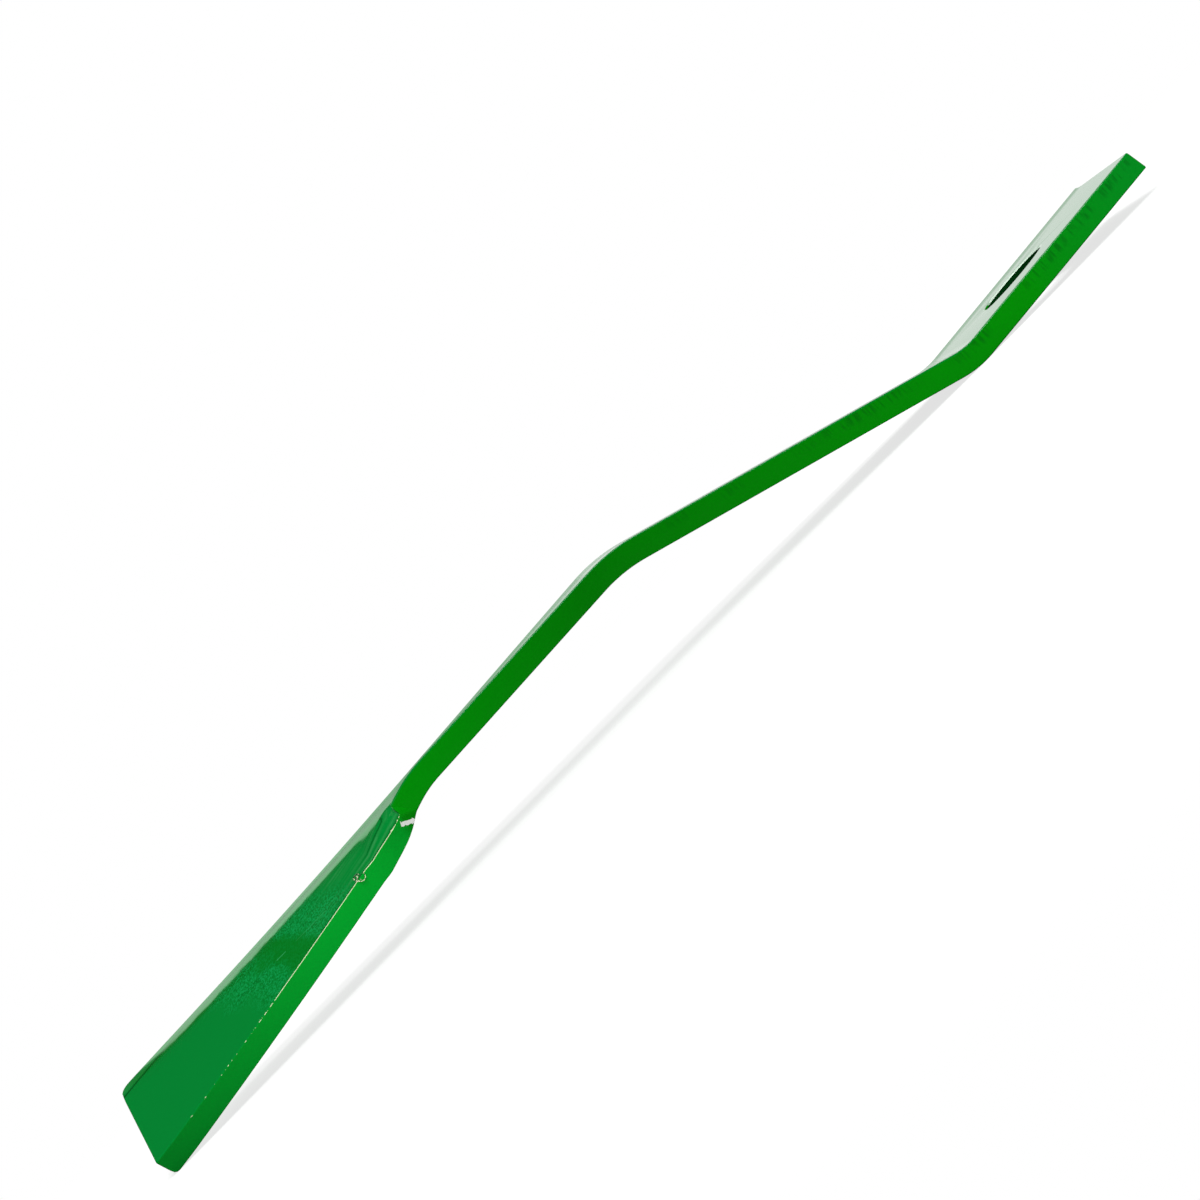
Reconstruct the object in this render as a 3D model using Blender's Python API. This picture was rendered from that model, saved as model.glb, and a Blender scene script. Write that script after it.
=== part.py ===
"""Rotary cutter blade: one flat steel bar with a bolt hole, two offset bends,
a lift wing pressed down along its trailing edge and a cutting bevel on its leading edge.

Lengths are metres. The bar is drawn flat first, with three coordinates:
u runs from the mounting end to the tip, v from the leading edge to the trailing edge,
and h from the middle of the thickness towards the face that looks up here.
Every point is then carried to its place on the formed bar, and the bar is laid down
as it rests on a table: on the heel of its first bend and on one corner of its tip.
X runs along the blade with the mounting end at +X, and the trailing edge is at -Y.
"""

from math import asin, atan2, cos, pi, radians, sin, sqrt, tan

import bmesh
import bpy
from mathutils import Matrix, Vector

# Bar stock
bar_width = 0.1016
bar_thickness = 0.0127
edge_radius = 0.0008
lip_height = 0.0008
lip_width = 0.0085

# Offset bends: runs between the corners of the middle line
mount_run = 0.1322
slope_run = 0.2094
cut_run = 0.3807
mount_bend = radians(20.7)
cut_bend = radians(19.5)
mount_bend_radius = 0.048
cut_bend_radius = 0.088

# Bolt hole
hole_diameter = 0.0435
hole_from_end = 0.0746
hole_chamfer = 0.0008

# Sheared ends
end_chamfer = 0.0004
shear_slant = radians(4.4)
mount_slant_reach = 0.020
tip_setback = 0.0082
tip_leading_radius = 0.0070
tip_lower_radius = 0.0028

# Cutting run: it leans a little, trailing edge up, before the wing
run_lean = radians(1.6)
run_lean_length = 0.110

# Lift wing: a is the distance past the wing's root, measured towards the tip
wing_length = 0.2179
twist_angle = radians(2.15)
twist_lead = 0.0253
fold_at_root = 0.0340
fold_slant = radians(19.8)
fold_settle = 0.0284
fold_width = 0.024
wing_angle = radians(20.0)
wing_camber = radians(2.4)

# Kick: the sharper turn of the trailing edge just past the root
kick_angle = radians(30.3)
kick_length = 0.0358
kick_reach = 0.0119
kick_width = 0.0040
kick_onset = 0.0006
# The press leaves a sharp start on the upper face, and a round one on the lower face
kick_round = 0.0159
# The metal that it drags down leans back under the root's corner
drag_angle = radians(12.2)
drag_lead = 0.030

# Cutting bevel on the lower face of the leading edge
bevel_width = 0.022
bevel_land = 0.0025
bevel_length = 0.250
bevel_runout = 0.030

# Fineness of the mesh
wide_columns = 12
fine_columns = 12
fine_reach = 0.0200
edge_segments = 2
bend_segments = 10
corner_segments = 5
hole_segments = 48
lead_stations = 10
root_stations = 24
root_crowding = 1.6
wing_stations = 20
section_steps = 48
normal_reach = 0.010
normal_step = 0.0005
cut_overrun = 0.004
weld_reach = 0.00001


def clamp(share):
    """Hold a share between 0 and 1."""
    return min(max(share, 0.0), 1.0)


def ease(share):
    """Go from 0 to 1 with a level start and end."""
    share = clamp(share)
    return share * share * (3 - 2 * share)


# The middle line, seen from the side

mount_tangent = mount_bend_radius * tan(mount_bend / 2)
cut_tangent = cut_bend_radius * tan(cut_bend / 2)
mount_straight = mount_run - mount_tangent
mount_arc = mount_bend_radius * mount_bend
slope_straight = slope_run - mount_tangent - cut_tangent
cut_arc = cut_bend_radius * cut_bend
cut_straight = cut_run - cut_tangent
bar_length = mount_straight + mount_arc + slope_straight + cut_arc + cut_straight
wing_root = bar_length - wing_length


def middle_line(u):
    """Place (x, z) and downward heading of the middle line at the distance u."""
    stretches = (
        (mount_straight, 0.0),
        (mount_arc, -mount_bend),
        (slope_straight, 0.0),
        (cut_arc, cut_bend),
        (cut_straight - wing_length, 0.0),
        (wing_length, -wing_camber),
    )
    x, z, heading, left = 0.0, 0.0, 0.0, u
    for length, turn in stretches:
        step = min(left, length)
        if turn:
            radius = length / turn
            ahead = heading + step / radius
            x -= radius * (sin(ahead) - sin(heading))
            z -= radius * (cos(heading) - cos(ahead))
            heading = ahead
        else:
            x -= step * cos(heading)
            z -= step * sin(heading)
        left -= step
        if left <= 0:
            return x, z, heading
    return x - left * cos(heading), z - left * sin(heading), heading


# The bar's section across, where the wing tilts it

def section_folds(a, depth):
    """The section's lean at its leading edge, and its folds as (start, width, angle).

    The depth is 0 at the upper face and 1 at the lower face.
    """
    lean = twist_angle * clamp(1 + a / twist_lead) ** 2
    lean -= run_lean * clamp(1 + a / run_lean_length)
    if a <= 0:
        return lean, ()
    reach = (fold_at_root + a * tan(fold_slant)) * sqrt(clamp(a / fold_settle))
    fading = ease(1 - a / kick_length)
    kick = kick_angle * fading * ease(a / (kick_onset + kick_round * depth))
    return lean, ((bar_width - reach, fold_width, wing_angle),
                  (bar_width - kick_reach, kick_width, kick))


def section_place(a, v, depth):
    """How far the section has run across, and dropped, at v from the leading edge."""
    lean, folds = section_folds(a, depth)
    step = v / section_steps
    across = drop = 0.0
    for i in range(section_steps):
        here = (i + 0.5) * step
        tilt = lean + sum(angle * clamp((here - start) / wide) for start, wide, angle in folds)
        across += cos(tilt) * step
        drop += sin(tilt) * step
    return across, drop


def middle_surface(u, v, depth):
    """The formed place of a point halfway through the thickness, as a face at the depth needs it."""
    a = u - wing_root
    across, drop = section_place(a, v, depth)
    near_root = ease(1 + a / drag_lead) * ease(1 - a / kick_length)
    drag = tan(drag_angle) * (drop + depth * bar_thickness) * near_root
    x, z, heading = middle_line(u - drag)
    return Vector((x + drop * sin(heading), bar_width / 2 - across, z - drop * cos(heading)))


def formed(u, v, h):
    """The formed place of any point of the flat bar."""
    depth = clamp(0.5 - h / bar_thickness)
    along = middle_surface(u + normal_reach, v, depth) - middle_surface(u - normal_reach, v, depth)
    across = middle_surface(u, v + normal_step, depth) - middle_surface(u, v - normal_step, depth)
    return middle_surface(u, v, depth) + h * along.cross(across).normalized()


# The flat bar's outline

def corner_arc(v, h, v_side, h_side):
    """Points round a long edge, from the broad face's side to the narrow face's."""
    points = []
    for i in range(edge_segments + 1):
        angle = pi / 2 * i / edge_segments
        inset_v = edge_radius * (1 - sin(angle))
        inset_h = edge_radius * (1 - cos(angle))
        points.append((v - v_side * inset_v, h - h_side * inset_h))
    return points


def lip(v):
    """Rise of the upper face towards the leading edge, left by the shears."""
    return lip_height * ease(1 - v / lip_width)


def columns(start, end):
    """Places across a broad face, closer together where the wing is kicked."""
    change = end - fine_reach
    places = [start + (change - start) * i / wide_columns for i in range(wide_columns)]
    return places + [change + fine_reach * i / fine_columns for i in range(fine_columns)]


def bevel_here(u):
    """Width of the cutting bevel at u, which runs out towards the mounting end."""
    return bevel_width * ease((u - (bar_length - bevel_length)) / bevel_runout)


def flat_profile(u, inset):
    """The closed outline (v, h) of the flat bar at u, drawn in by the inset."""
    half = bar_thickness / 2 - inset
    from_corner = u - (bar_length - tip_leading_radius)
    trim = 0.0
    if from_corner > 0:
        trim = tip_leading_radius - sqrt(max(tip_leading_radius**2 - from_corner**2, 0.0))
    from_roll = u - (bar_length - tip_lower_radius)
    roll = 0.0
    if from_roll > 0:
        roll = tip_lower_radius - sqrt(max(tip_lower_radius**2 - from_roll**2, 0.0))
    leading, trailing = trim + inset, bar_width - inset
    bottom = -half + roll

    bevel = bevel_here(u)
    depth = (bar_thickness - bevel_land) * bevel / bevel_width
    shoulder = leading + max(bevel, lip_width)
    leading_bottom = bottom + depth * (1 - roll / bar_thickness)

    points = [(v, half + lip(v)) for v in columns(leading, trailing)[1:]]
    points += corner_arc(trailing, half, 1, 1)
    points += reversed(corner_arc(trailing, bottom, 1, -1))
    points += [(v, bottom) for v in reversed(columns(shoulder, trailing))]
    points += corner_arc(leading, leading_bottom, -1, -1)
    points += reversed(corner_arc(leading, half + lip(leading), -1, 1))
    return points


def slanted(u, v, h):
    """Shift u where the sheared ends lean, and where the tip is set back."""
    from_mount = clamp(1 - u / mount_slant_reach)
    to_tip = clamp((u - wing_root) / wing_length)
    lean = h * tan(shear_slant) * (from_mount + to_tip)
    return u + lean - tip_setback * v / bar_width * to_tip


def stations():
    """Distances u at which the bar's outline is drawn, with the inset of each."""
    second_bend = mount_straight + mount_arc + slope_straight
    kick_end = wing_root + kick_length
    corner = bar_length - tip_leading_radius
    places = [end_chamfer, mount_slant_reach]
    places += [mount_straight + mount_arc * i / bend_segments for i in range(bend_segments + 1)]
    places += [second_bend + cut_arc * i / bend_segments for i in range(bend_segments + 1)]
    places += [wing_root - twist_lead * i / lead_stations for i in range(lead_stations, -1, -1)]
    places += [wing_root + kick_length * (i / root_stations) ** root_crowding
               for i in range(1, root_stations + 1)]
    places += [kick_end + (corner - kick_end) * i / wing_stations for i in range(1, wing_stations + 1)]
    places += [corner + tip_leading_radius * sin(pi / 2 * i / corner_segments)
               for i in range(1, corner_segments)]
    places.append(bar_length - end_chamfer)
    return [(0.0, end_chamfer)] + [(u, 0.0) for u in places] + [(bar_length, end_chamfer)]


def extrude_loop(bm, loop):
    """Extrude a closed loop of vertices in place, and return the new one in the same order."""
    edges = [bm.edges.get(pair) for pair in zip(loop, loop[1:] + loop[:1])]
    made = set(bmesh.ops.extrude_edge_only(bm, edges=edges)["geom"])
    neighbours = [[edge.other_vert(vert) for edge in vert.link_edges] for vert in loop]
    return [next(vert for vert in near if vert in made) for near in neighbours]


def shape_bar():
    """Extrude the bar's outline from station to station, form it, and close both ends."""
    bm = bmesh.new()
    loop = []
    ends = []
    for u, inset in stations():
        profile = flat_profile(u, inset)
        if loop:
            loop = extrude_loop(bm, loop)
        else:
            loop = [bm.verts.new() for point in profile]
            ends += [bm.edges.new(pair) for pair in zip(loop, loop[1:] + loop[:1])]
        for vert, (v, h) in zip(loop, profile):
            vert.co = formed(slanted(u, v, h), v, h)
    ends += [bm.edges.get(pair) for pair in zip(loop, loop[1:] + loop[:1])]
    caps = bmesh.ops.holes_fill(bm, edges=ends)["faces"]
    bmesh.ops.triangulate(bm, faces=caps)
    bmesh.ops.recalc_face_normals(bm, faces=bm.faces)
    return bm


# Laying the bar down as it rests

def resting_turn(bm):
    """The turn about Y at which the heel of the first bend and the tip touch the ground."""
    x, z = middle_line(mount_straight)[:2]
    heel_centre = Vector((x, z + mount_bend_radius))
    heel_radius = mount_bend_radius + bar_thickness / 2
    turns = []
    for vert in bm.verts:
        arm = Vector((vert.co.x, vert.co.z)) - heel_centre
        if -arm.x > slope_run:
            turns.append(-atan2(arm.y, -arm.x) - asin(heel_radius / arm.length))
    return Matrix.Rotation(max(turns), 4, "Y")


def standing_shift(bm):
    """The move that puts the middle of the outer box over the origin, at the ground."""
    low = Vector(min(vert.co[i] for vert in bm.verts) for i in range(3))
    high = Vector(max(vert.co[i] for vert in bm.verts) for i in range(3))
    middle = (low + high) / 2
    return Matrix.Translation((-middle.x, -middle.y, -low.z))


# Objects

def add_object(name, bm):
    """Turn a bmesh into an object of the scene."""
    mesh = bpy.data.meshes.new(name)
    bm.to_mesh(mesh)
    bm.free()
    item = bpy.data.objects.new(name, mesh)
    bpy.context.collection.objects.link(item)
    return item


def green_enamel():
    """Glossy green enamel, the blade's only finish."""
    material = bpy.data.materials.new("green_enamel")
    material.use_nodes = True
    shader = material.node_tree.nodes["Principled BSDF"]
    shader.inputs["Base Color"].default_value = (0.003, 0.235, 0.018, 1.0)
    shader.inputs["Roughness"].default_value = 0.22
    shader.inputs["Metallic"].default_value = 0.0
    return material


def bolt_hole_cutter(placing):
    """A turned plug that cuts the bolt hole and the small chamfers at both rims."""
    radius = hole_diameter / 2
    face = bar_thickness / 2
    flared = radius + hole_chamfer + cut_overrun
    bottom, top = -face - cut_overrun, face + cut_overrun
    outline = ((0.0, bottom), (flared, bottom), (radius, hole_chamfer - face),
               (radius, face - hole_chamfer), (flared, top), (0.0, top))
    bm = bmesh.new()
    points = [bm.verts.new((r, 0.0, z)) for r, z in outline]
    edges = [bm.edges.new(pair) for pair in zip(points, points[1:])]
    bmesh.ops.spin(bm, geom=points + edges, cent=(0, 0, 0), axis=(0, 0, 1),
                   angle=2 * pi, steps=hole_segments, use_merge=True)
    bmesh.ops.remove_doubles(bm, verts=bm.verts, dist=weld_reach)
    bmesh.ops.recalc_face_normals(bm, faces=bm.faces)
    centre = formed(hole_from_end, bar_width / 2, 0.0)
    bmesh.ops.transform(bm, matrix=placing @ Matrix.Translation(centre), verts=bm.verts)
    cutter = add_object("bolt_hole_cutter", bm)
    cutter.hide_render = True
    cutter.display_type = "WIRE"
    return cutter


def main():
    for item in list(bpy.data.objects):
        bpy.data.objects.remove(item, do_unlink=True)

    bm = shape_bar()
    placing = resting_turn(bm)
    bmesh.ops.transform(bm, matrix=placing, verts=bm.verts)
    shift = standing_shift(bm)
    bmesh.ops.transform(bm, matrix=shift, verts=bm.verts)
    blade = add_object("blade", bm)
    blade.data.materials.append(green_enamel())
    blade.data.shade_smooth()
    blade.data.set_sharp_from_angle(angle=radians(30))

    hole = blade.modifiers.new("bolt_hole", "BOOLEAN")
    hole.operation = "DIFFERENCE"
    hole.solver = "EXACT"
    hole.object = bolt_hole_cutter(shift @ placing)


main()
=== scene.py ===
"""Looks of a rotary cutter blade: green enamel on one bent steel bar with a lift wing.

Lengths are metres. X runs along the blade with the mounting end at +X,
the trailing edge faces -Y, and the blade rests on the floor at z = 0.
"""

from math import radians

import bmesh
import bpy
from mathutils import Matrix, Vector
from mathutils.geometry import intersect_point_line


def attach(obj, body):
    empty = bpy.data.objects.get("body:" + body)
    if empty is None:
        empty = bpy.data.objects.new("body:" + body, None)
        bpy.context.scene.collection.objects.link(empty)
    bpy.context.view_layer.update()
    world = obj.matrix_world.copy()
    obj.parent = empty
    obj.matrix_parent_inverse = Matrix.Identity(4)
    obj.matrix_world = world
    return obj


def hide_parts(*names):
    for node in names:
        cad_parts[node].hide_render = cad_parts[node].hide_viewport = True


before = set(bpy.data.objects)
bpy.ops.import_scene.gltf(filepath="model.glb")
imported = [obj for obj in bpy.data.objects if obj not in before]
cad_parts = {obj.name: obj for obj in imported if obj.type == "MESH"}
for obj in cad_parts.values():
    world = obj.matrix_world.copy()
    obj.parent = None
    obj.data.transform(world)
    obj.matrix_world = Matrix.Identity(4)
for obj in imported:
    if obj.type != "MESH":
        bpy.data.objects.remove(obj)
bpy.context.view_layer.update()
bpy.ops.object.select_all(action="DESELECT")

# Camera, as the photograph was taken: close above the floor, rolled by 45 degrees
camera_place = (-0.05769, -1.26586, 0.08771)
camera_turn = (radians(87.6796), radians(44.9310), radians(-4.5559))
camera_lens = 72.92
camera_sensor = 36.0
camera_reach = (0.01, 100.0)

# Lamps: name, place, size of the soft box and power, all aimed at the middle of the floor
lamps = (
    ("key_lamp", (0.3, -1.6, 1.7), 1.2, 42.0),
    ("top_lamp", (-0.2, 0.3, 2.2), 1.0, 12.0),
)

# Floor: what the camera sees near the blade and how far that reaches, then what soft light and gloss see
floor_size = 40.0
shadow_grey = (0.35, 0.35, 0.35, 1.0)
shadow_glow = 0.75
shadow_reach = (0.50, 0.95)
bounce_grey = (0.65, 0.65, 0.65, 1.0)
gloss_grey = (0.03, 0.03, 0.03, 1.0)

# Room: its plain light, what gloss sees of it, and the light of the white sweep
room_light = 0.30
gloss_light = 0.02
sweep_light = 1.0

# The white sweep: its top edge as a share of straight up, and how it starts behind the blade
sweep_top_share = (0.29, 0.23)
sweep_behind_share = (-0.1, 0.4)

# The sweep's left end stands higher, is greener in the gloss, and grows lighter with height
left_sweep_share = (0.10, -0.05)
left_sweep_rise_share = 0.11
left_sweep_light = 0.38
left_sweep_light_rise = 1.35
left_sweep_green = (0.68, 1.0, 0.72, 1.0)
plain_white = (1.0, 1.0, 1.0, 1.0)

# Colours of the enamel on the broad faces
face_green = (0.0004, 0.226, 0.030, 1.0)
# Painted shade inside the bolt hole
hole_shade_green = (0.0004, 0.034, 0.004, 1.0)
streak_green = (0.060, 0.330, 0.110, 1.0)
# Painted dark reflection on the smooth patch
patch_reflection_green = (0.0004, 0.165, 0.004, 1.0)
# Painted highlight of the ripples
ripple_highlight_green = (0.006, 0.345, 0.085, 1.0)
scratch_green = (0.040, 0.400, 0.130, 1.0)
# Dark green of scratches and shear marks, also used for painted shade and dark reflections
dark_and_shade_green = (0.0004, 0.045, 0.004, 1.0)
# Painted light on the raised lip
lip_painted_light_green = (0.110, 0.420, 0.150, 1.0)

# Colours of the sheared edge, by their place along the blade: their lighter and darker steps are painted
# light and shade
edge_greens_and_shade = (
    (-0.350, (0.0004, 0.205, 0.015, 1.0)),
    (-0.200, (0.0004, 0.415, 0.028, 1.0)),
    (-0.146, (0.0004, 0.410, 0.024, 1.0)),
    (-0.142, (0.0004, 0.255, 0.002, 1.0)),
    (0.000, (0.0004, 0.160, 0.001, 1.0)),
    (0.270, (0.0004, 0.260, 0.001, 1.0)),
    (0.350, (0.0004, 0.255, 0.013, 1.0)),
)

# Colours where the enamel is worn or knocked off, and of painted highlights
burr_green = (0.001, 0.110, 0.020, 1.0)
# Worn paint, and on the wing's upper edge also a painted highlight
worn_gold_and_highlight = (0.70, 0.80, 0.50, 1.0)
glint_white = (1.0, 1.0, 0.97, 1.0)
# Painted highlight on rounded rims and edges
rim_highlight_pale = (0.70, 0.86, 0.72, 1.0)

# Gloss and skin of the enamel: on smooth stretches the skin keeps only a share of its height
gloss_roughness = 0.10
worn_roughness = 0.35
enamel_specular = 0.25
peel_pitch = 420.0
peel_detail = 1.0
peel_height = 0.00007
smooth_peel_share = 0.12

# How far a surface looks up, from 0 for sideways to 1 for straight up
upper_facing = (0.25, 0.45)
under_facing = (-0.80, -0.90)
hole_shade_facing = (0.50, 0.35)
level_facing = (0.90, 0.97)

# How far a surface looks to the mounting end, and to the side of the leading edge
end_facing = (0.44, 0.36)
edge_facing = (-0.20, -0.40)

# Where the wing begins
wing_root_x = -0.1424
root_fade = 0.0015

# How the upper trailing edge is picked out, which the marks beside it are measured from
edge_turn = (radians(28), radians(65))
edge_side_y = -0.02
edge_least_up = -0.3
edge_limits_x = (-0.3430, 0.3550)

# Bolt hole, seen from above, with painted shade on its inside wall
hole_place = (0.2815, 0.0008, 0.0)
hole_reach = 0.0222
hole_fade = 0.0001
# Where the painted highlight on the hole's rim lies
rim_reach = (0.0210, 0.0225)
rim_fade = 0.0003

# Pale streaks that were drawn along the wing, strongest near its root
streak_along_pitch = 11.0
streak_across_pitch = 175.0
streak_detail = 3.0
streak_level = (0.40, 0.75)
streak_cloud_pitch = 60.0
streak_cloud_detail = 2.0
streak_cloud_level = (0.35, 0.65)
streak_least = 0.40
streak_start_x = (-0.235, -0.155)
streak_end_x = (-0.126, -0.148)
streak_strength = 0.66

# The rippled enamel that slants across the wing, with a drifting outline; its dark and pale ripples are
# painted shade and painted highlights of the bumpy skin
ripple_slant = 0.42
ripple_x = (-0.2450, -0.1960)
ripple_fade = 0.020
ripple_pitch = 980.0
ripple_stretch = 1.5
ripple_detail = 2.0
ripple_shade_level = (0.46, 0.38)
ripple_shade_strength = 0.34
ripple_highlight_level = (0.48, 0.60)
ripple_highlight_strength = 0.66
drift_pitch = 55.0
drift_detail = 1.0
drift_reach = 0.022

# The smooth darker patch in the middle of the ripples, which takes most of them away; its darker green is
# a painted reflection
patch_x = (-0.2270, -0.2180)
patch_fade = 0.009
patch_reach = (0.080, 0.045)
patch_strength = 0.70
patch_calm = 0.8

# The dark line beside the fold, a painted dark reflection, which bends away from it: y = start + slope *
# run + curve * run squared
fold_line_start = (-0.330, 0.038)
fold_line_slope = -0.36
fold_line_curve = -1.7
fold_line_half_width = 0.0006
fold_line_fade = 0.0050
fold_line_x = (-0.345, -0.256)
fold_line_strength = 0.8

# Scratches, one behind the other on one line: where each starts and ends, and its colour and strength
scratch_start = (-0.215, -0.0326)
scratch_slope = 0.43
scratch_half_width = 0.0001
scratch_fade = 0.0004
scratches = (
    (-0.2690, -0.2490, dark_and_shade_green, 0.40),
    (-0.2400, -0.2335, scratch_green, 0.85),
    (-0.2250, -0.2030, scratch_green, 0.35),
)

# The raised lip along the wing's leading edge, with painted light on it, paler away from the tip
lip_y = (0.0415, 0.0425)
lip_wing_x = (-0.150, -0.200)
lip_paler_x = (-0.340, -0.270)
lip_tip_strength = 0.10
lip_more_strength = 0.38

# The dark line at the lip's foot, painted shade
foot_y = (0.0388, 0.0402)
foot_fade = 0.0010
foot_strength = 0.65

# The crease where the kick begins, past the wing's root, with painted shade in it
crease_gap = (0.0096, 0.0100)
crease_fade = 0.0009
crease_fade_x = (-0.182, -0.160)
crease_strength = 0.55

# Marks that the shears left below the upper trailing edge, in patches
mark_pitch = 640.0
mark_slant = radians(20)
mark_stretch = 9.0
mark_detail = 1.5
mark_level = (0.45, 0.65)
mark_patch_pitch = 30.0
mark_patch_detail = 1.0
mark_patch_level = (0.42, 0.58)
mark_top_gap = (0.0006, 0.0012)
mark_foot_gap = (0.0076, 0.0038)
mark_fade_x = (-0.05, 0.20)
mark_strength = 0.40

# Pale line beside the upper trailing edge at the mounting end, a painted highlight on the rounded edge
near_edge_gap = (0.0009, 0.0006)
near_edge_x = (0.18, 0.24)

# Painted glint, a white highlight, across the trailing edge where the wing is kicked
glint_place = (-0.1449, 0.0, 0.0439)
glint_turn = radians(31)
glint_half_width = 0.0011
glint_fade = 0.0002
glint_end_x = (-0.1300, -0.1320)
glint_ragged = 0.0030
glint_ragged_pitch = 800.0
glint_ragged_detail = 2.0

# The worn line along the wing's upper trailing edge, partly worn paint and partly a painted highlight on
# the rounded edge: a strip of spots, closed up near the root
worn_highlight_gap = (0.00026, 0.00013)
worn_highlight_start_x = (wing_root_x - 0.006, wing_root_x - 0.010)
worn_highlight_solid_x = (-0.252, -0.243)
worn_highlight_last_x = (-0.330, -0.315)
worn_highlight_pitch = 620.0
worn_highlight_detail = 1.0
worn_highlight_level = 0.49
worn_highlight_sharpness = 0.02
worn_highlight_solid_drop = 0.30
worn_highlight_thinning = 0.13
worn_highlight_thinning_x = (-0.256, -0.310)

# The dark line beside the worn line, a painted dark reflection of the rounded edge
dark_reflection_gap = (0.0016, 0.0006)
dark_reflection_x = (-0.25, -0.20)
dark_reflection_strength = 0.55

# Burr on the wing's trailing edge: a curl of metal, its core, and the rim of a small scoop
burr_place = (-0.1790, -0.0492, 0.0405)
burr_turn = (radians(72), radians(25), 0.0)
burr_radius = 0.0018
burr_wire_radius = 0.00032
burr_segments = (36, 12)
core_place = (-0.1797, -0.0490, 0.0411)
core_turn = (radians(95), radians(-30), 0.0)
core_radius = 0.0010
core_wire_radius = 0.00036
core_segments = (28, 10)
scoop_place = (-0.1775, -0.0499, 0.0398)
scoop_turn = (radians(84), 0.0, 0.0)
scoop_radius = 0.0024
scoop_rim_radius = 0.00022
scoop_segments = (40, 10)
scoop_cut = (-0.2, 0.0, 0.98)
scoop_fade = 0.0002

# Worn spots on the burr
burr_spot_pitch = 700.0
burr_spot_detail = 1.0
burr_spot_level = (0.47, 0.55)

# How the meshes are merged and shaded
merge_gap = 0.000005
flat_turn = radians(3)
quad_skew = radians(60)
smooth_turn = radians(30)
burr_smooth_turn = radians(40)


class Socket:
    """A socket of a finish. Python's operators on it add Math nodes."""

    def __init__(self, finish, plug):
        self.finish = finish
        self.plug = plug

    def maths(self, operation, first, second):
        return self.finish.node("ShaderNodeMath", {"operation": operation}, {0: first, 1: second})

    def __add__(self, other):
        return self.maths("ADD", self, other)

    def __radd__(self, other):
        return self.maths("ADD", other, self)

    def __sub__(self, other):
        return self.maths("SUBTRACT", self, other)

    def __rsub__(self, other):
        return self.maths("SUBTRACT", other, self)

    def __mul__(self, other):
        return self.maths("MULTIPLY", self, other)

    def __rmul__(self, other):
        return self.maths("MULTIPLY", other, self)

    def larger(self, other):
        return self.maths("MAXIMUM", self, other)


class Finish:
    """The nodes of one material or of the world."""

    def __init__(self, owner):
        owner.use_nodes = True
        self.tree = owner.node_tree

    def node(self, kind, settings=None, inputs=None, output=0):
        """Add a node, set it up, fill its sockets, and return one of its outputs."""
        made = self.tree.nodes.new(kind)
        for name, value in (settings or {}).items():
            if name == "stops":
                self.set_stops(made.color_ramp.elements, value)
            else:
                setattr(made, name, value)
        self.fill(made, inputs or {})
        return Socket(self, made.outputs[output])

    def set_stops(self, ramp, stops):
        """Give a colour ramp its stops, each a place from 0 to 1 and a colour."""
        while len(ramp) < len(stops):
            ramp.new(1.0)
        for stop, (place, colour) in zip(ramp, stops):
            stop.position = place
            stop.color = colour

    def fill(self, made, inputs):
        """Give values or links to a node's sockets."""
        for name, value in inputs.items():
            if isinstance(value, Socket):
                self.tree.links.new(value.plug, made.inputs[name])
            else:
                made.inputs[name].default_value = value

    def split(self, vector):
        """The three parts of a vector."""
        parts = self.node("ShaderNodeSeparateXYZ", None, {0: vector}).plug.node
        return [Socket(self, plug) for plug in parts.outputs]

    def stretched(self, vector, scales):
        """A vector with each of its parts multiplied by a scale of its own."""
        return self.node("ShaderNodeVectorMath", {"operation": "MULTIPLY"}, {0: vector, 1: scales})

    def ramp(self, value, start, end):
        """Go smoothly from 0 to 1 as the value goes from the start to the end."""
        return self.node("ShaderNodeMapRange", {"interpolation_type": "SMOOTHSTEP"},
                         {"Value": value, "From Min": start, "From Max": end})

    def even_ramp(self, value, start, end):
        """Go evenly from 0 to 1 as the value goes from the start to the end."""
        return self.node("ShaderNodeMapRange", None, {"Value": value, "From Min": start, "From Max": end})

    def band(self, value, start, end, fade):
        """1 from the start to the end, fading to 0 on both sides."""
        return self.ramp(value, start - fade, start) * self.ramp(value, end + fade, end)

    def noise(self, vector, detail, pitch=1.0):
        """Soft blotches with some finer detail, about as many to the metre as the pitch says."""
        return self.node("ShaderNodeTexNoise", None, {"Vector": vector, "Scale": pitch, "Detail": detail})

    def swing(self, vector, detail, pitch):
        """Such blotches, but to both sides of 0."""
        return self.noise(vector, detail, pitch) - 0.5

    def distance(self, place, other):
        """How far two places are apart."""
        return self.node("ShaderNodeVectorMath", {"operation": "DISTANCE"}, {0: place, 1: other}, "Value")

    def mix(self, share, first, second):
        """Blend two colours."""
        return self.node("ShaderNodeMix", {"data_type": "RGBA"}, {0: share, 6: first, 7: second}, 2)


def add_material(name):
    """A new material with its Principled shader."""
    material = bpy.data.materials.new(name)
    finish = Finish(material)
    return material, finish, finish.tree.nodes["Principled BSDF"]


# The blade's enamel

class Spot:
    """Where a spot of the blade's surface lies, and which way it faces."""

    def __init__(self, finish):
        self.place = finish.node("ShaderNodeTexCoord", output="Object")
        self.along, self.across, _ = finish.split(self.place)
        self.gap = finish.node("ShaderNodeAttribute", {"attribute_name": "edge_gap"}, output="Fac")
        self.from_hole = finish.distance(finish.stretched(self.place, (1.0, 1.0, 0.0)), hole_place)
        normal = finish.node("ShaderNodeNewGeometry", output="True Normal")
        endways, sideways, self.facing = finish.split(normal)
        self.on_edge = finish.ramp(sideways, *edge_facing)
        self.upper = finish.ramp(self.facing, *upper_facing) * finish.ramp(endways, *end_facing)
        self.under = finish.ramp(self.facing, *under_facing)
        self.past_root = finish.ramp(self.along, wing_root_x + root_fade, wing_root_x - root_fade)


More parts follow.
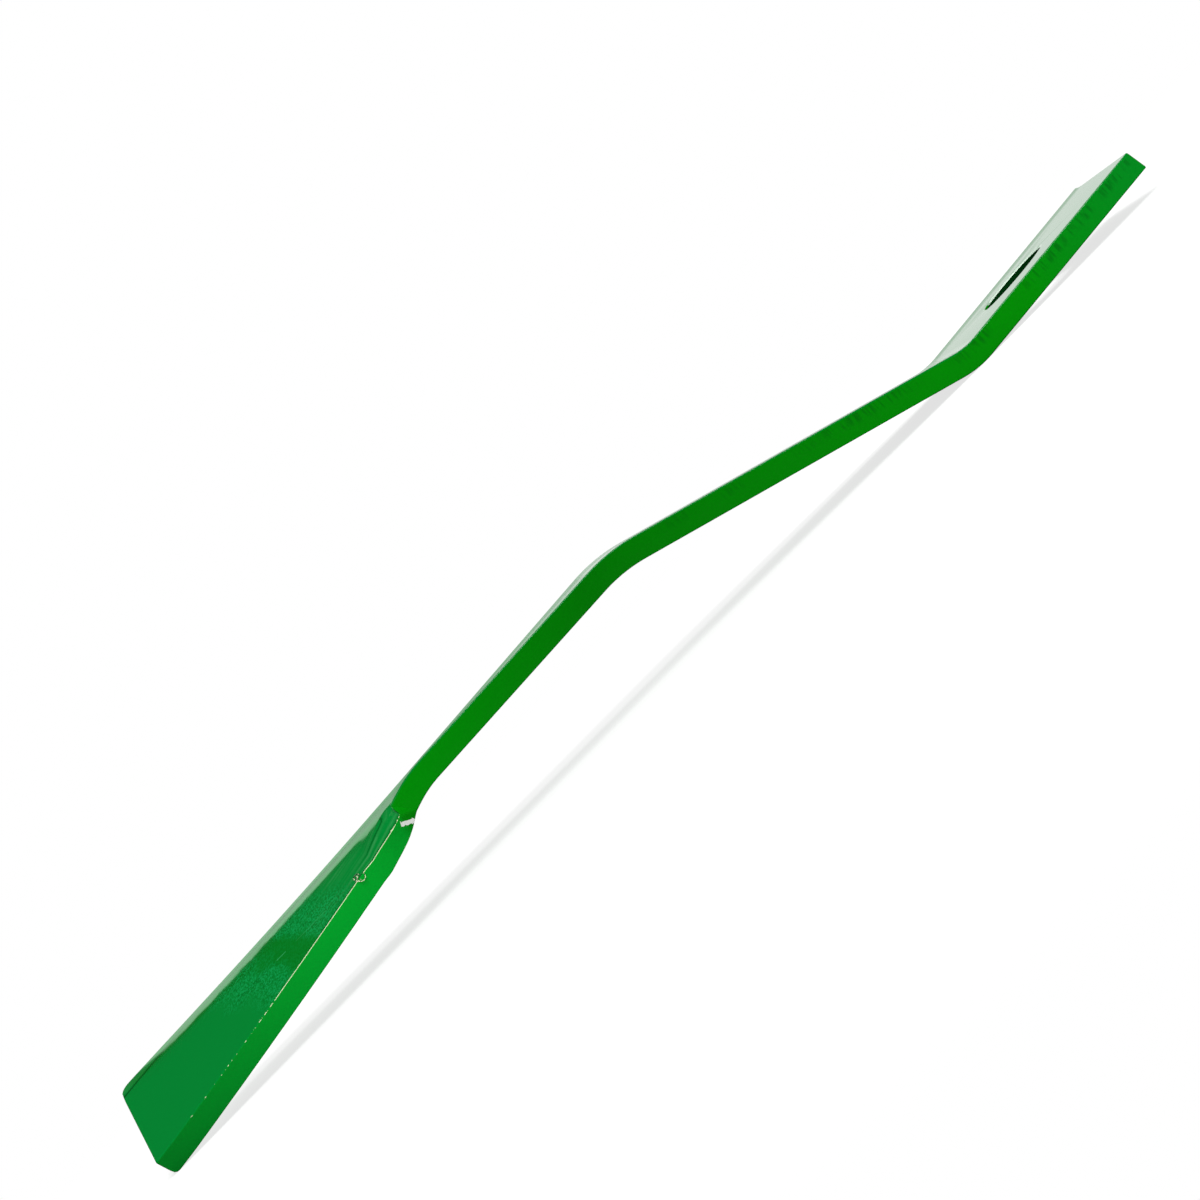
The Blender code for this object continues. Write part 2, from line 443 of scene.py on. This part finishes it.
def base_greens(finish, spot):
    """One green on the broad faces, others along the sheared edge with painted light and shade, and
    painted shade in dark green inside the bolt hole.
    """
    first, last = edge_greens_and_shade[0][0], edge_greens_and_shade[-1][0]
    stops = [((x - first) / (last - first), colour) for x, colour in edge_greens_and_shade]
    share = finish.even_ramp(spot.along, first, last)
    edge = finish.node("ShaderNodeValToRGB", {"stops": stops}, {0: share})
    green = finish.mix(spot.upper + spot.under, edge, face_green)
    # Painted shade on the hole's inside wall, where it does not face up
    hole_shade = finish.ramp(spot.from_hole, hole_reach + hole_fade, hole_reach)
    return finish.mix(hole_shade * finish.ramp(spot.facing, *hole_shade_facing), green, hole_shade_green)


def drawn_streaks(finish, spot, green):
    """Pale lengthwise streaks on the wing, and fainter ones between the clouds."""
    drawn = finish.node("ShaderNodeCombineXYZ", None,
                        {"X": spot.along * streak_along_pitch,
                         "Y": (spot.gap + spot.across) * streak_across_pitch})
    lines = finish.ramp(finish.noise(drawn, streak_detail), *streak_level)
    clouds = finish.noise(spot.place, streak_cloud_detail, streak_cloud_pitch)
    cloudy = streak_least + (1 - streak_least) * finish.ramp(clouds, *streak_cloud_level)
    near_root = finish.ramp(spot.along, *streak_start_x) * finish.ramp(spot.along, *streak_end_x)
    share = lines * cloudy * near_root * spot.upper
    return finish.mix(share * streak_strength, green, streak_green)


def reflection_patch_and_ripples(finish, spot):
    """Where the wing's enamel is smooth and painted darker as a dark reflection, and where it is rippled
    on both sides of that.
    """
    drift = finish.swing(spot.place, drift_detail, drift_pitch) * drift_reach
    slanted = spot.along + ripple_slant * spot.gap + drift
    patch = finish.band(slanted, *patch_x, patch_fade) * finish.ramp(spot.gap, *patch_reach) * spot.upper
    rippled = finish.band(slanted, *ripple_x, ripple_fade) * spot.upper * (1 - patch_calm * patch)
    return patch, rippled


def fold_reflection_line(finish, spot):
    """1 on the dark line beside the wing's fold, a painted dark reflection."""
    run = spot.along - fold_line_start[0]
    aside = spot.across - fold_line_start[1] - run * (fold_line_slope + fold_line_curve * run)
    line = finish.band(aside, -fold_line_half_width, fold_line_half_width, fold_line_fade)
    return line * finish.band(spot.along, *fold_line_x, patch_fade) * spot.upper


def ripples(finish, spot, green, patch, rippled):
    """Painted dark reflections on the smooth patch and beside the fold, then the ripples' painted shade
    and highlights.
    """
    line = fold_reflection_line(finish, spot) * fold_line_strength
    green = finish.mix(patch.larger(line) * patch_strength, green, patch_reflection_green)
    wide_pitch = ripple_pitch / ripple_stretch
    drawn = finish.stretched(spot.place, (ripple_pitch, wide_pitch, wide_pitch))
    grain = finish.noise(drawn, ripple_detail)
    ripple_shade = finish.ramp(grain, *ripple_shade_level) * rippled * ripple_shade_strength
    ripple_highlights = finish.ramp(grain, *ripple_highlight_level) * rippled * ripple_highlight_strength
    return finish.mix(ripple_highlights, finish.mix(ripple_shade, green, dark_and_shade_green), ripple_highlight_green)


def scratched(finish, spot, green):
    """Dark and pale scratches on one line along the wing."""
    aside = (spot.across - scratch_start[1]) + scratch_slope * (spot.along - scratch_start[0])
    line = finish.band(aside, -scratch_half_width, scratch_half_width, scratch_fade) * spot.upper
    for start, end, colour, strength in scratches:
        span = finish.band(spot.along, start, end, scratch_fade)
        green = finish.mix(line * span * strength, green, colour)
    return green


def lip_and_crease_shading(finish, spot, green):
    """Painted shade at the lip's foot, painted light on the lip, and painted shade in the crease at the
    kick.
    """
    on_wing = finish.ramp(spot.along, *lip_wing_x) * spot.upper
    foot = finish.band(spot.across, *foot_y, foot_fade) * on_wing
    green = finish.mix(foot * foot_strength, green, dark_and_shade_green)
    paler = lip_tip_strength + lip_more_strength * finish.ramp(spot.along, *lip_paler_x)
    green = finish.mix(finish.ramp(spot.across, *lip_y) * on_wing * paler, green, lip_painted_light_green)
    crease_shade = finish.band(spot.gap, *crease_gap, crease_fade) * spot.past_root * spot.upper
    share = crease_shade * finish.ramp(spot.along, *crease_fade_x) * crease_strength
    return finish.mix(share, green, dark_and_shade_green)


def rim_highlights(finish, spot, green):
    """Painted highlights: the bolt hole's pale rim, and the pale line along the edge at the mounting end.
    """
    rim = finish.band(spot.from_hole, *rim_reach, rim_fade)
    green = finish.mix(rim * spot.upper, green, rim_highlight_pale)
    line = finish.ramp(spot.gap, *near_edge_gap) * finish.ramp(spot.along, *near_edge_x)
    return finish.mix(line * finish.ramp(spot.facing, *level_facing), green, rim_highlight_pale)


def shear_marks(finish, spot, green):
    """Dark slanted marks on the upper half of the sheared edge, towards the mounting end."""
    slanted = finish.node("ShaderNodeMapping", None, {
        "Vector": spot.place, "Rotation": (0.0, mark_slant, 0.0),
        "Scale": (mark_pitch, 0.0, mark_pitch / mark_stretch)})
    marks = finish.ramp(finish.noise(slanted, mark_detail), *mark_level)
    patches = finish.ramp(finish.noise(spot.place, mark_patch_detail, mark_patch_pitch), *mark_patch_level)
    upper_half = finish.ramp(spot.gap, *mark_top_gap) * finish.ramp(spot.gap, *mark_foot_gap)
    torn = patches * upper_half * (1 - spot.upper) * finish.ramp(spot.along, *mark_fade_x)
    return finish.mix(torn * marks * mark_strength, green, dark_and_shade_green)


def painted_glint(finish, spot, green):
    """A ragged painted glint, a white highlight, across the trailing edge, past the wing's root."""
    turned = finish.node("ShaderNodeMapping", {"vector_type": "TEXTURE"}, {
        "Vector": spot.place, "Location": glint_place, "Rotation": (0.0, glint_turn, 0.0)})
    run, _, side = finish.split(turned)
    ragged = finish.swing(spot.place, glint_ragged_detail, glint_ragged_pitch) * glint_ragged
    glint = finish.band(side + ragged, -glint_half_width, glint_half_width, glint_fade)
    ends = finish.ramp(run, -2 * glint_fade, 0.0) * finish.ramp(spot.along, *glint_end_x)
    return finish.mix(glint * ends * (1 - spot.upper) * spot.on_edge, green, glint_white)


def worn_and_highlight_line(finish, spot):
    """1 on the worn line along the wing's upper edge, partly wear and partly painted highlight: solid near
    the root, broken towards the tip.
    """
    solid = finish.ramp(spot.along, *worn_highlight_solid_x) * finish.ramp(spot.along, *worn_highlight_start_x)
    thinned = worn_highlight_thinning * finish.ramp(spot.along, *worn_highlight_thinning_x)
    level = worn_highlight_level + thinned - worn_highlight_solid_drop * solid
    spots = finish.noise(spot.place, worn_highlight_detail, worn_highlight_pitch) - level
    from_scoop = finish.distance(spot.place, scoop_place)
    off_scoop = finish.ramp(from_scoop, scoop_radius - scoop_fade, scoop_radius)
    kept = finish.ramp(spots, 0.0, worn_highlight_sharpness) * off_scoop * finish.ramp(spot.along, *worn_highlight_last_x)
    return finish.ramp(spot.gap, *worn_highlight_gap) * spot.past_root * kept


def green_enamel():
    """Glossy green enamel with its streaks, ripples, scratches and wear, and with painted light, shade,
    highlights and reflections.
    """
    material, finish, shader = add_material("green_enamel_finish")
    spot = Spot(finish)
    green = base_greens(finish, spot)
    green = drawn_streaks(finish, spot, green)
    patch, rippled = reflection_patch_and_ripples(finish, spot)
    green = ripples(finish, spot, green, patch, rippled)
    green = scratched(finish, spot, green)
    green = lip_and_crease_shading(finish, spot, green)
    green = rim_highlights(finish, spot, green)
    green = shear_marks(finish, spot, green)
    green = painted_glint(finish, spot, green)
    # Painted dark reflection beside the worn line
    beside = finish.ramp(spot.gap, *dark_reflection_gap) * finish.ramp(spot.along, *dark_reflection_x)
    green = finish.mix(beside * spot.upper * spot.past_root * dark_reflection_strength, green, dark_and_shade_green)
    # Worn paint with a painted highlight along the upper trailing edge
    worn = worn_and_highlight_line(finish, spot)
    skin = finish.noise(spot.place, peel_detail, peel_pitch)
    relief = finish.node("ShaderNodeBump", None, {
        "Strength": 1.0, "Distance": peel_height,
        "Height": skin * (smooth_peel_share + (1 - smooth_peel_share) * rippled)})
    finish.fill(shader, {
        "Base Color": finish.mix(worn, green, worn_gold_and_highlight),
        "Roughness": gloss_roughness + worn * (worn_roughness - gloss_roughness),
        "Specular IOR Level": enamel_specular,
        "Normal": relief})
    return material


# The piece

def write_edge_gap(piece):
    """Store how far every vertex lies from the upper trailing edge."""
    bm = bmesh.new()
    bm.from_mesh(piece.data)
    bm.normal_update()
    corners = []
    for edge in bm.edges:
        if len(edge.link_faces) != 2 or not edge_turn[0] < edge.calc_face_angle() < edge_turn[1]:
            continue
        first, second = (vert.co for vert in edge.verts)
        outward = edge.link_faces[0].normal + edge.link_faces[1].normal
        middle = (first + second) / 2
        along = edge_limits_x[0] < middle.x < edge_limits_x[1]
        if along and middle.y < edge_side_y and outward.z > edge_least_up and outward.y < 0:
            corners.append((first.copy(), second.copy()))
    store = bm.verts.layers.float.new("edge_gap")
    for vert in bm.verts:
        gaps = []
        for first, second in corners:
            share = intersect_point_line(vert.co, first, second)[1]
            near = first.lerp(second, min(max(share, 0.0), 1.0))
            gaps.append((vert.co - near).length)
        vert[store] = min(gaps)
    bm.to_mesh(piece.data)
    bm.free()


def painted_blade():
    """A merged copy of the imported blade, which stands for it."""
    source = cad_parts["blade"]
    piece = bpy.data.objects.new("blade_painted", source.data.copy())
    bpy.context.collection.objects.link(piece)
    bpy.context.view_layer.objects.active = piece
    piece.select_set(True)
    bpy.ops.object.mode_set(mode="EDIT")
    bpy.ops.mesh.select_all(action="SELECT")
    bpy.ops.mesh.remove_doubles(threshold=merge_gap)
    bpy.ops.mesh.tris_convert_to_quads(face_threshold=flat_turn, shape_threshold=quad_skew)
    bpy.ops.object.mode_set(mode="OBJECT")
    bpy.ops.object.shade_smooth_by_angle(angle=smooth_turn)
    even = piece.modifiers.new("even_shading", "WEIGHTED_NORMAL")
    even.keep_sharp = True
    bpy.ops.object.modifier_apply(modifier=even.name)
    piece.select_set(False)
    write_edge_gap(piece)
    piece.data.materials.clear()
    piece.data.materials.append(green_enamel())
    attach(piece, "root")
    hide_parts("blade")


def add_ring(radius, wire_radius, segments, place, turn):
    """Add a closed ring of round wire, as a new object or to the mesh that is being edited."""
    bpy.ops.mesh.primitive_torus_add(major_radius=radius, minor_radius=wire_radius,
                                     major_segments=segments[0], minor_segments=segments[1],
                                     location=place, rotation=turn)


def burr_finish():
    """Dark green metal with worn spots."""
    material, finish, shader = add_material("burr_finish")
    place = finish.node("ShaderNodeTexCoord", output="Object")
    spots = finish.ramp(finish.noise(place, burr_spot_detail, burr_spot_pitch), *burr_spot_level)
    colour = finish.mix(spots, burr_green, worn_gold_and_highlight)
    finish.fill(shader, {"Base Color": colour, "Roughness": worn_roughness})
    return material


def edge_burr():
    """A curl of metal that a knock raised on the wing's trailing edge, over a small scoop."""
    add_ring(burr_radius, burr_wire_radius, burr_segments, burr_place, burr_turn)
    burr = bpy.context.object
    burr.name = "edge_burr"
    bpy.ops.object.mode_set(mode="EDIT")
    add_ring(core_radius, core_wire_radius, core_segments, core_place, core_turn)
    bpy.ops.mesh.select_all(action="DESELECT")
    add_ring(scoop_radius, scoop_rim_radius, scoop_segments, scoop_place, scoop_turn)
    bpy.ops.mesh.bisect(plane_co=scoop_place, plane_no=scoop_cut, use_fill=True, clear_outer=True)
    bpy.ops.object.mode_set(mode="OBJECT")
    bpy.ops.object.transform_apply(location=True, rotation=True, scale=True)
    bpy.ops.object.shade_smooth_by_angle(angle=burr_smooth_turn)
    burr.select_set(False)
    burr.data.materials.append(burr_finish())
    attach(burr, "root")


painted_blade()
edge_burr()


# Studio

def white_floor():
    """A pale floor that the camera sees as white, with the blade's soft shadow on it."""
    bpy.ops.mesh.primitive_plane_add(size=floor_size, location=(0.0, 0.0, 0.0))
    floor = bpy.context.object
    floor.name = "studio_floor"
    floor.select_set(False)
    material = bpy.data.materials.new("studio_floor_finish")
    finish = Finish(material)
    nodes = finish.tree.nodes
    nodes.remove(nodes["Principled BSDF"])
    place = finish.node("ShaderNodeTexCoord", output="Object")
    from_blade = finish.node("ShaderNodeVectorMath", {"operation": "LENGTH"}, {0: place}, "Value")
    far = finish.ramp(from_blade, *shadow_reach)
    shaded = finish.node("ShaderNodeBsdfDiffuse", None, {"Color": shadow_grey})
    glow = finish.node("ShaderNodeEmission", None, {"Strength": shadow_glow})
    near = finish.node("ShaderNodeAddShader", None, {0: shaded, 1: glow})
    white = finish.node("ShaderNodeEmission", None, {"Strength": 1.0})
    seen = finish.node("ShaderNodeMixShader", None, {0: far, 1: near, 2: white})
    pale = finish.node("ShaderNodeBsdfDiffuse", None, {"Color": bounce_grey})
    dull = finish.node("ShaderNodeBsdfDiffuse", None, {"Color": gloss_grey})
    by_gloss = finish.node("ShaderNodeLightPath", output="Is Glossy Ray")
    lit = finish.node("ShaderNodeMixShader", None, {0: by_gloss, 1: pale, 2: dull})
    by_camera = finish.node("ShaderNodeLightPath", output="Is Camera Ray")
    both = finish.node("ShaderNodeMixShader", None, {0: by_camera, 1: lit, 2: seen})
    finish.fill(nodes["Material Output"], {"Surface": both})
    floor.data.materials.append(material)


def studio_world():
    """White to the camera, and a dim room with a white sweep low behind the blade to all else."""
    world = bpy.context.scene.world or bpy.data.worlds.new("studio")
    bpy.context.scene.world = world
    finish = Finish(world)
    direction = finish.node("ShaderNodeTexCoord", output="Generated")
    aside, behind, height = finish.split(direction)
    left = finish.ramp(aside, *left_sweep_share)
    low = finish.ramp(height - left_sweep_rise_share * left, *sweep_top_share)
    back = finish.even_ramp(behind, *sweep_behind_share)
    by_camera = finish.node("ShaderNodeLightPath", output="Is Camera Ray")
    by_gloss = finish.node("ShaderNodeLightPath", output="Is Glossy Ray")
    plain = room_light + (gloss_light - room_light) * by_gloss
    left_light = left_sweep_light + left_sweep_light_rise * height
    sweep = sweep_light + (left_light - sweep_light) * left
    room = plain + (sweep - plain) * low * back
    strength = by_camera + (1 - by_camera) * room
    tint = finish.mix(left * by_gloss, plain_white, left_sweep_green)
    finish.fill(finish.tree.nodes["Background"], {"Color": tint, "Strength": strength})


def soft_lamp(name, place, size, power):
    """A square soft box, turned to the middle of the floor."""
    data = bpy.data.lights.new(name, "AREA")
    data.shape = "SQUARE"
    data.size = size
    data.energy = power
    lamp = bpy.data.objects.new(name, data)
    lamp.location = place
    lamp.rotation_euler = (-Vector(place)).to_track_quat("-Z", "Y").to_euler()
    bpy.context.collection.objects.link(lamp)


def add_camera():
    """The camera, where the photograph was taken from."""
    data = bpy.data.cameras.new("photo_camera")
    data.lens = camera_lens
    data.sensor_width = camera_sensor
    data.clip_start, data.clip_end = camera_reach
    camera = bpy.data.objects.new("photo_camera", data)
    camera.location = camera_place
    camera.rotation_euler = camera_turn
    bpy.context.collection.objects.link(camera)
    bpy.context.scene.camera = camera


white_floor()
studio_world()
for lamp_values in lamps:
    soft_lamp(*lamp_values)
add_camera()
bpy.context.scene.view_settings.view_transform = "Standard"
